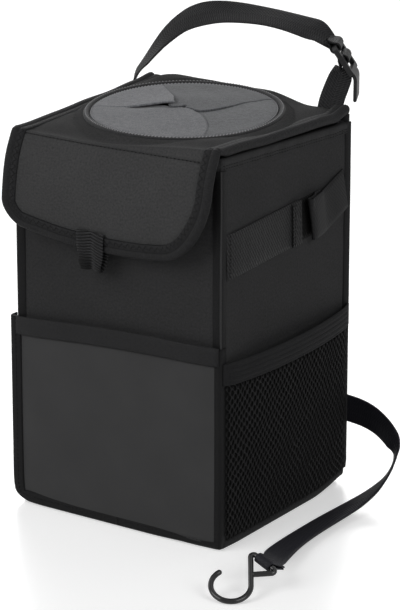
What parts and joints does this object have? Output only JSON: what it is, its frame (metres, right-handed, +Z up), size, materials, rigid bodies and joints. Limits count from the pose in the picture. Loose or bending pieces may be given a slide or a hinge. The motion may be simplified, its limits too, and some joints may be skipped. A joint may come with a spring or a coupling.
{
  "type": "car trash bin",
  "caption": "Tall foldable fabric bin for a car, with a hinged lid, push-through round opening, bound flap, front and mesh side pockets, hanging strap and strap with hook.",
  "frame": {"origin": "middle of the base on the floor", "axes": "+Z up, the flap and front pocket towards -Y, the strap with the hook towards +X"},
  "size_m": [0.2436, 0.2647, 0.3234],
  "materials": {
    "shell_fabric": "coated plain weave",
    "pocket_fabric": "smooth fine weave",
    "tape": "ribbed tape",
    "webbing": "woven webbing",
    "netting": "knitted net",
    "elastic": "ribbed elastic",
    "stiffener": "plain board",
    "lining": "coated film",
    "closure": "hook and loop tape",
    "foam": "knit faced foam rubber",
    "buckle": "moulded",
    "wire": "dipped coating"
  },
  "bodies": {
    "body": {"base_panel": "shell_fabric", "front_wall": "shell_fabric", "back_wall": "shell_fabric", "left_wall": "shell_fabric", "right_wall": "shell_fabric", "front_pocket": "pocket_fabric", "rim_binding": "tape", "base_binding": "tape", "front_left_seam_binding": "tape", "front_right_seam_binding": "tape", "back_left_seam_binding": "tape", "back_right_seam_binding": "tape", "front_pocket_band": "tape", "front_pocket_left_binding": "tape", "front_pocket_right_binding": "tape", "left_band_front": "webbing", "right_band_front": "webbing", "left_band_loop": "webbing", "right_band_loop": "webbing", "hanging_strap": "webbing", "anchor_strap": "webbing", "hook_strap": "webbing", "left_mesh_pocket": "netting", "right_mesh_pocket": "netting", "left_pocket_elastic": "elastic", "right_pocket_elastic": "elastic", "base_board": "stiffener", "front_board": "stiffener", "back_board": "stiffener", "left_board": "stiffener", "right_board": "stiffener", "liner": "lining", "closure_loop_patch": "closure", "strap_slider": "buckle"},
    "lid": {"lid_panel": "shell_fabric", "lid_board": "stiffener", "lid_lining": "lining", "lid_left_binding": "tape", "lid_right_binding": "tape", "opening_ring": "foam", "left_petal": "foam", "right_petal": "foam", "front_petal": "foam", "back_petal": "foam"},
    "flap": {"flap_panel": "shell_fabric", "flap_binding": "tape", "pull_loop": "webbing", "closure_hook_patch": "closure"},
    "hook": {"hook": "wire"}
  },
  "joints": [
    {"name": "lid_hinge", "type": "hinge", "parent": "body", "child": "lid", "pos_m": [0, 0.0772, 0.2666], "axis": [-1, 0, 0], "range_deg": [0, 85]},
    {"name": "flap_hinge", "type": "hinge", "parent": "lid", "child": "flap", "pos_m": [0, -0.08113, 0.2676], "axis": [-1, 0, 0], "range_deg": [-4.5, 170]},
    {"name": "hook_swing", "type": "hinge", "parent": "body", "child": "hook", "pos_m": [0.13901, -0.11139, 0.01729], "axis": [-0.9335, 0.1155, 0.3396], "range_deg": [0, 100]}
  ]
}
